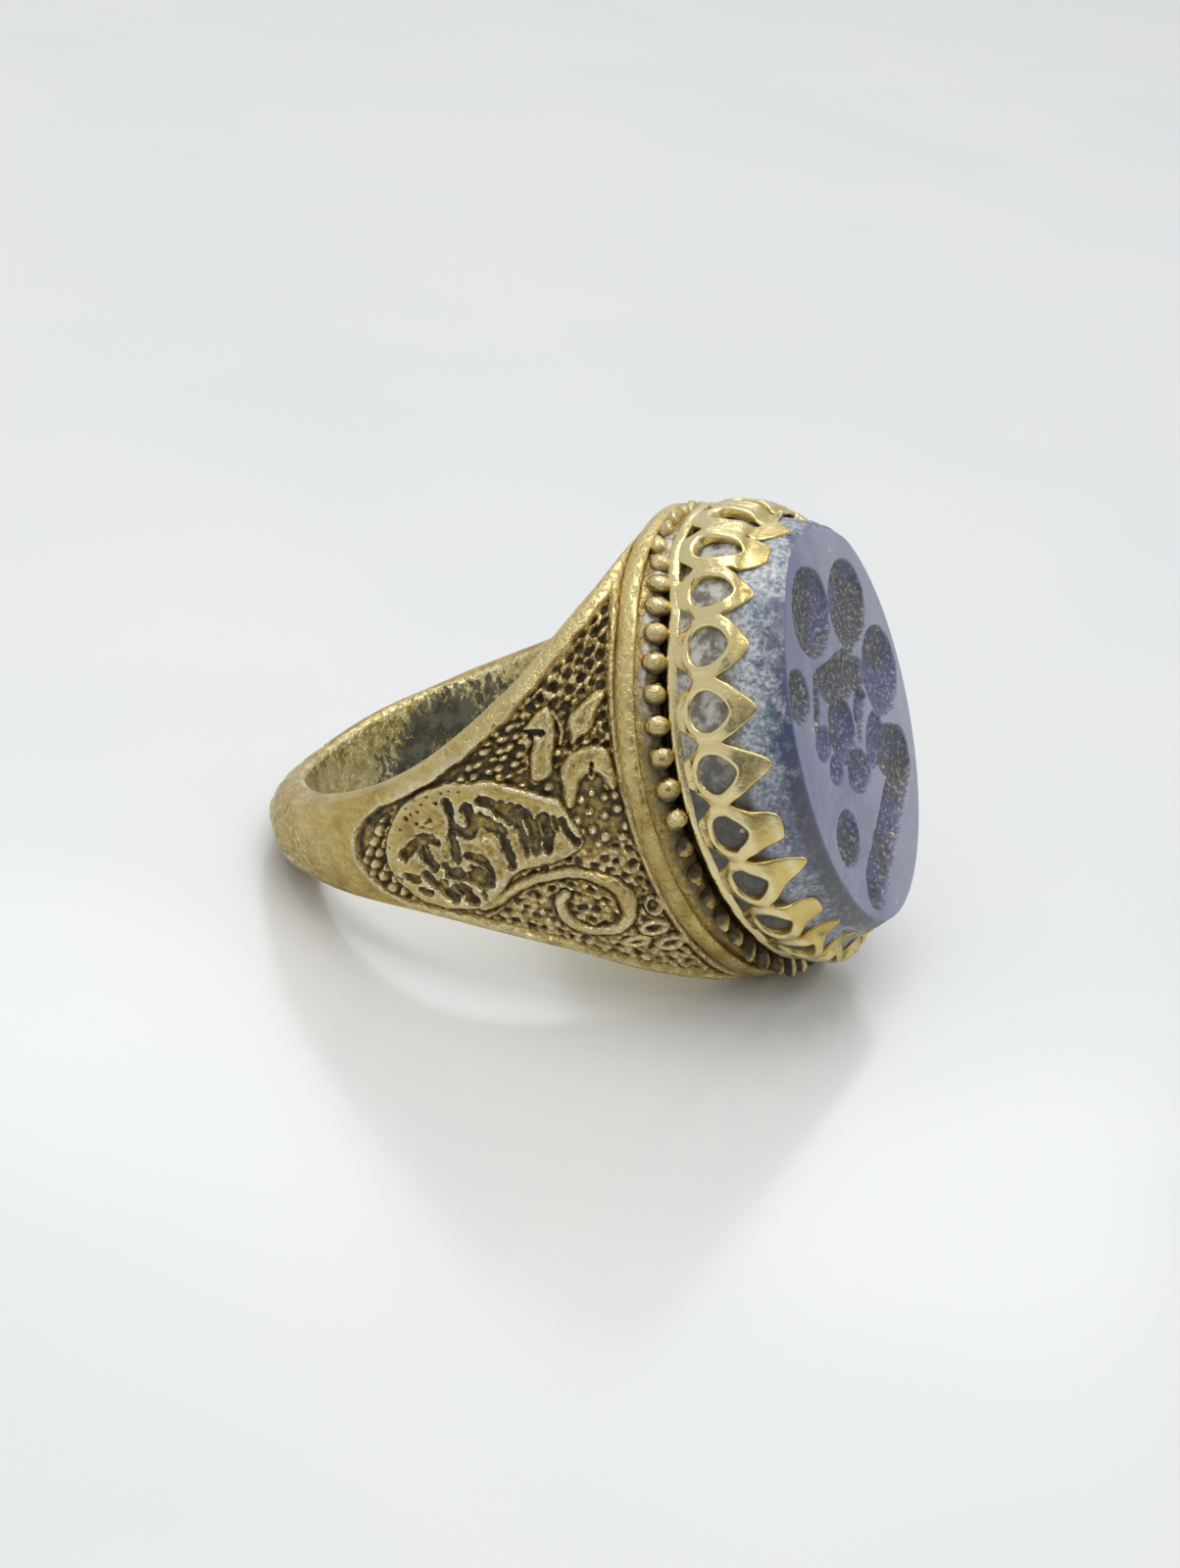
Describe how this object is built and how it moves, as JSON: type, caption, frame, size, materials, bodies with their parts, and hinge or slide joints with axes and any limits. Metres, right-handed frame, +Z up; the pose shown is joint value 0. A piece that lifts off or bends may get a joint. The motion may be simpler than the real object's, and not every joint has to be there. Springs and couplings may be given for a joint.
{
  "type": "intaglio ring",
  "caption": "Cast brass finger ring with carved shoulders, a beaded oval head and a pierced crown bezel holding a flat-topped blue stone cut as a seal.",
  "frame": {"origin": "centre of the bounding box's underside, on the surface that the ring lies on", "axes": "+Z up; +X from the palm side of the hoop towards the stone; the finger hole's axis is in the XZ plane, tipped from +Z towards -X by the angle at which the ring lies"},
  "size_m": [0.028, 0.0212, 0.0198],
  "materials": {
    "cast_brass": "satin cast brass, worn, dark in its hollows",
    "polished_brass": "filed and rubbed brass, worn",
    "lapis_lazuli": "opaque polished stone with dull cuts"
  },
  "bodies": {
    "root": {"shank": "cast_brass", "crown_bezel": "polished_brass", "lapis_intaglio": "lapis_lazuli"}
  },
  "joints": []
}
